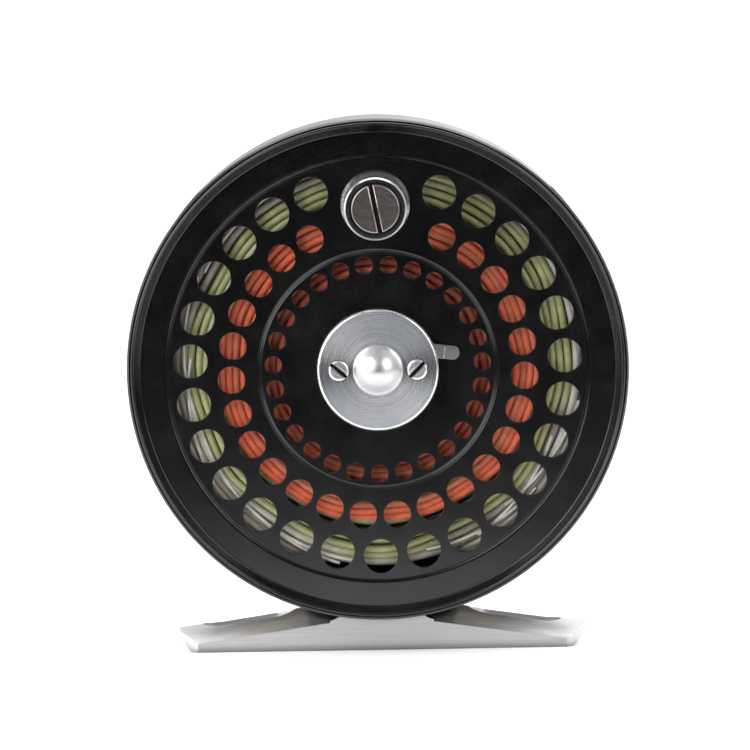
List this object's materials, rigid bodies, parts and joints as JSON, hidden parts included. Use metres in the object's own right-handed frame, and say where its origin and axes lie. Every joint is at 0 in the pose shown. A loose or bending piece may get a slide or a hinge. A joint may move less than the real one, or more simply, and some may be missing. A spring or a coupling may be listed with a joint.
{
  "type": "fly reel",
  "caption": "Click-and-pawl fly reel: a perforated spool with wound line turns in a screwed cage on a reel-seat foot.",
  "frame": {"origin": "centre of the reel foot's underside, on the plane of its two lands", "axes": "+X along the foot, -Y towards the handle side of the spool, +Z from the foot up to the spool axis"},
  "size_m": [0.0762, 0.0491, 0.0815],
  "materials": {
    "black_frame": "black anodised, satin",
    "black_spool": "black anodised, satin",
    "black_knob": "black anodised, ribbed",
    "foot_alu": "bare, fine brushed",
    "cover_alu": "bare, face turned",
    "steel_bright": "ground and polished",
    "steel_screw": "turned, slotted",
    "dark_screw": "bronzed, face turned",
    "spring_wire": "bright wire",
    "brass": "machined",
    "knob_metal": "polished",
    "backing_braid": "braided",
    "line_olive": "coated line",
    "line_grey": "coated line"
  },
  "bodies": {
    "frame": {"back_plate": "black_frame", "front_ring": "black_frame", "top_bridge": "black_frame", "bottom_bridge": "black_frame", "cage_bars": "black_frame", "frame_screws": "steel_screw", "ring_screws": "steel_screw", "foot": "foot_alu", "foot_screws": "steel_screw", "spindle": "steel_bright", "spindle_screws": "steel_screw", "pawl_posts": "steel_screw", "spring_pins": "steel_screw", "pawl_spring_a": "spring_wire", "pawl_spring_b": "spring_wire", "drag_washer": "brass"},
    "spool": {"spool": "black_spool", "bushing_front": "brass", "bushing_rear": "brass", "click_gear": "brass", "gear_screws": "steel_screw", "latch_cover": "cover_alu", "latch_screws": "steel_screw", "latch_spring": "spring_wire", "handle_post": "steel_bright", "handle_collar": "knob_metal", "handle_screw": "dark_screw", "backing": "backing_braid", "fly_line": "line_olive", "leader": "line_grey"},
    "handle": {"handle_knob": "knob_metal", "handle_sleeve": "brass"},
    "latch": {"latch_lever": "steel_bright"},
    "pawl_a": {"pawl_a": "brass"},
    "pawl_b": {"pawl_b": "brass"},
    "regulator": {"drag_knob": "black_knob", "drag_cam": "brass", "drag_screw": "steel_screw"}
  },
  "joints": [
    {"name": "spool_spin", "type": "hinge", "parent": "frame", "child": "spool", "pos_m": [0, 0, 0.0434], "axis": [0, -1, 0], "continuous": true},
    {"name": "handle_spin", "type": "hinge", "parent": "spool", "child": "handle", "pos_m": [0, -0.0226, 0.0685], "axis": [0, -1, 0], "continuous": true},
    {"name": "latch_press", "type": "hinge", "parent": "spool", "child": "latch", "pos_m": [-0.00595, -0.0131, 0.0434], "axis": [0, -1, 0], "range_deg": [-7, 0], "stiffness_Nm_per_rad": 0.02, "springref_deg": 2.86, "deforming": ["latch_spring"]},
    {"name": "pawl_a_click", "type": "hinge", "parent": "frame", "child": "pawl_a", "pos_m": [-0.0096, 0.00935, 0.054], "axis": [0, -1, 0], "range_deg": [0, 10], "stiffness_Nm_per_rad": 0.01, "springref_deg": -8.59, "deforming": ["pawl_spring_a"]},
    {"name": "pawl_b_click", "type": "hinge", "parent": "frame", "child": "pawl_b", "pos_m": [0.0096, 0.00935, 0.0328], "axis": [0, -1, 0], "range_deg": [0, 10], "stiffness_Nm_per_rad": 0.01, "springref_deg": -8.59, "deforming": ["pawl_spring_b"]},
    {"name": "regulator_turn", "type": "hinge", "parent": "frame", "child": "regulator", "pos_m": [0, 0.0155, 0.0249], "axis": [0, 1, 0], "range_deg": [0, 180]}
  ]
}
